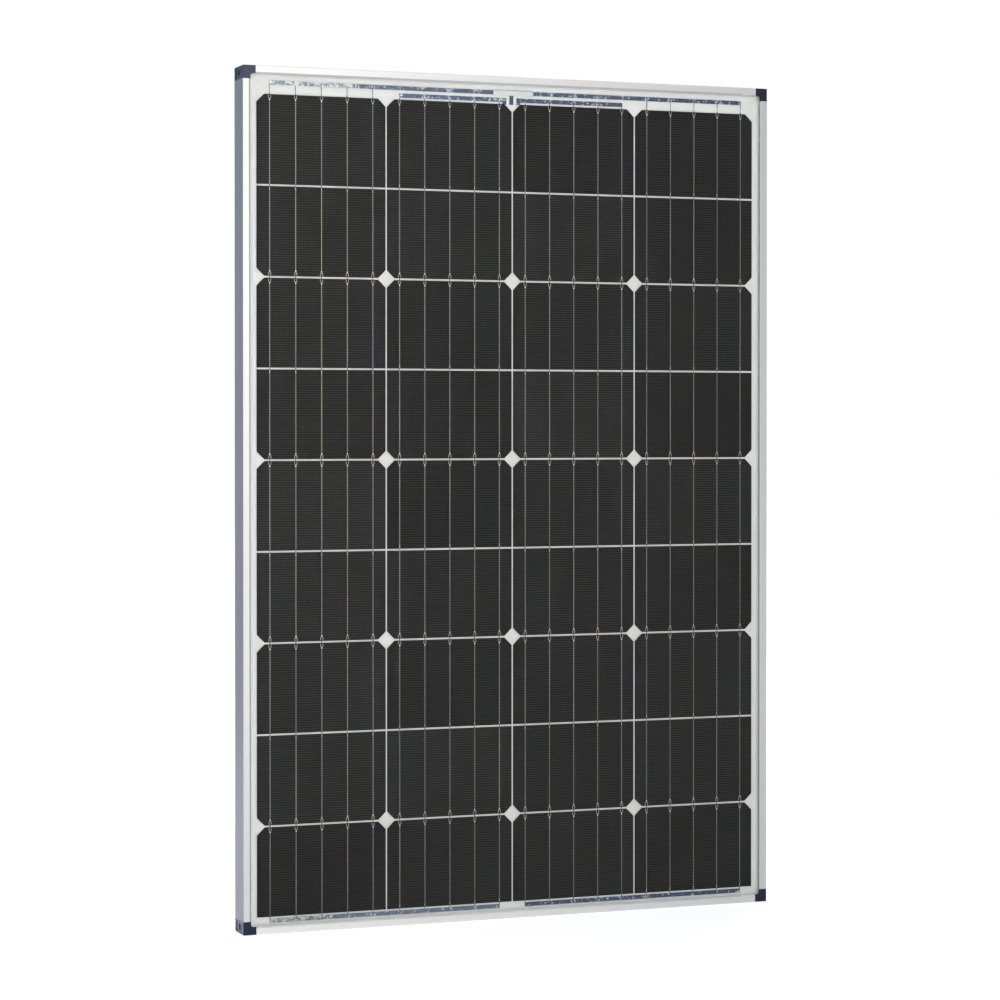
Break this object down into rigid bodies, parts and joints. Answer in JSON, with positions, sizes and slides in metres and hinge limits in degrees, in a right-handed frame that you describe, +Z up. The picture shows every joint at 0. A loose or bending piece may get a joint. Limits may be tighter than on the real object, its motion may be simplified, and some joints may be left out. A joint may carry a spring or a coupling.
{
  "type": "solar panel",
  "caption": "Framed rigid solar panel: cut silicon cells under glass, aluminium rails on plastic corner keys, and a rear junction box with a hinged lid and cable glands.",
  "frame": {"origin": "under the middle of the panel, on the surface that its bottom rail stands on, halfway through the frame's depth", "axes": "+Z up along the panel's long side, +Y from the glass to the back, +X to the right as seen from the glass side"},
  "size_m": [0.668, 0.035, 1],
  "materials": {
    "frame_aluminium": "satin silver anodised",
    "corner_plastic": "moulded blue-black",
    "edge_seal": "white silicone",
    "glass": "low-iron, lightly textured, anti-reflective",
    "encapsulant": "clear",
    "silicon": "black anti-reflective with fine printed lines",
    "cell_ribbon": "tinned copper",
    "collecting_ribbon": "tinned copper, creased",
    "cover_strip": "white film",
    "backsheet": "white film",
    "adhesive": "grey silicone",
    "box_plastic": "black, fine moulded grain",
    "soft_rubber": "matte black",
    "pin_steel": "zinc plated",
    "terminal_brass": "bright",
    "diode_body": "black epoxy"
  },
  "bodies": {
    "panel": {"left_rail": "frame_aluminium", "right_rail": "frame_aluminium", "top_rail": "frame_aluminium", "bottom_rail": "frame_aluminium", "corner_key_top_left": "corner_plastic", "corner_key_top_right": "corner_plastic", "corner_key_bottom_left": "corner_plastic", "corner_key_bottom_right": "corner_plastic", "edge_seal": "edge_seal", "front_glass": "glass", "front_encapsulant": "encapsulant", "rear_encapsulant": "encapsulant", "cell_string_1": "silicon", "cell_string_2": "silicon", "cell_string_3": "silicon", "cell_string_4": "silicon", "string_ribbons_1": "cell_ribbon", "string_ribbons_2": "cell_ribbon", "string_ribbons_3": "cell_ribbon", "string_ribbons_4": "cell_ribbon", "upper_bus": "collecting_ribbon", "left_bus": "collecting_ribbon", "right_bus": "collecting_ribbon", "bottom_bus_left": "collecting_ribbon", "bottom_bus_right": "collecting_ribbon", "lead_left": "collecting_ribbon", "lead_centre": "collecting_ribbon", "lead_right": "collecting_ribbon", "cover_strip": "cover_strip", "backsheet": "backsheet", "box_adhesive": "adhesive", "junction_box_base": "box_plastic", "gland_left": "box_plastic", "gland_right": "box_plastic", "lid_gasket": "soft_rubber", "gland_seal_left": "soft_rubber", "gland_seal_right": "soft_rubber", "hinge_pin": "pin_steel", "terminal_screws": "pin_steel", "terminal_left": "terminal_brass", "terminal_centre": "terminal_brass", "terminal_right": "terminal_brass", "bypass_diodes": "diode_body"},
    "box_lid": {"junction_box_lid": "box_plastic"},
    "nut_left": {"gland_nut_left": "box_plastic"},
    "nut_right": {"gland_nut_right": "box_plastic"}
  },
  "joints": [
    {"name": "lid_hinge", "type": "hinge", "parent": "panel", "child": "box_lid", "pos_m": [-0.0544, 0.00955, 0.9353], "axis": [0, 0, 1], "range_deg": [0, 110]},
    {"name": "gland_nut_left_turn", "type": "hinge", "parent": "panel", "child": "nut_left", "pos_m": [-0.0271, 0.00005, 0.884], "axis": [0, 0, 1], "range_deg": [0, 360]},
    {"name": "gland_nut_right_turn", "type": "hinge", "parent": "panel", "child": "nut_right", "pos_m": [0.0249, 0.00005, 0.884], "axis": [0, 0, 1], "range_deg": [0, 360]}
  ]
}
